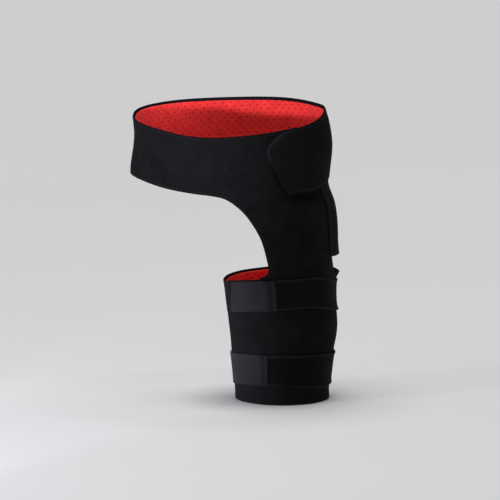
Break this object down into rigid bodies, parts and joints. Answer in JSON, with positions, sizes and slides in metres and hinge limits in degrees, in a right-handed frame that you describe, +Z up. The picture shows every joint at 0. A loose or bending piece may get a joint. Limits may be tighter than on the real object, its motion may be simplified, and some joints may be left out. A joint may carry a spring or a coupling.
{
  "type": "hip and thigh compression brace",
  "caption": "Compression brace for hip and thigh: a waist belt with a rounded overlapping tip, a hip panel and a thigh cuff closed by elastic straps with hook tabs.",
  "frame": {"origin": "centre of the waist opening, half way up the belt", "axes": "+Z up along the wearer's body, -Y the wearer's front, +X towards the braced leg"},
  "size_m": [0.3503, 0.2338, 0.4942],
  "materials": {
    "neoprene": "matt knit face on foam",
    "lining": "matt perforated lining",
    "elastic": "woven elastic",
    "hook_backing": "smooth moulded hook backing",
    "hooks": "hook tape"
  },
  "bodies": {
    "root": {"main_panel": "neoprene", "main_panel_lining": "lining", "rear_belt": "neoprene", "rear_belt_lining": "lining", "belt_hook_patch": "hooks", "rear_wing": "neoprene", "rear_wing_lining": "lining", "upper_strap": "elastic", "upper_hook_tab": "hook_backing", "lower_strap": "elastic", "lower_hook_tab": "hook_backing"}
  },
  "joints": []
}
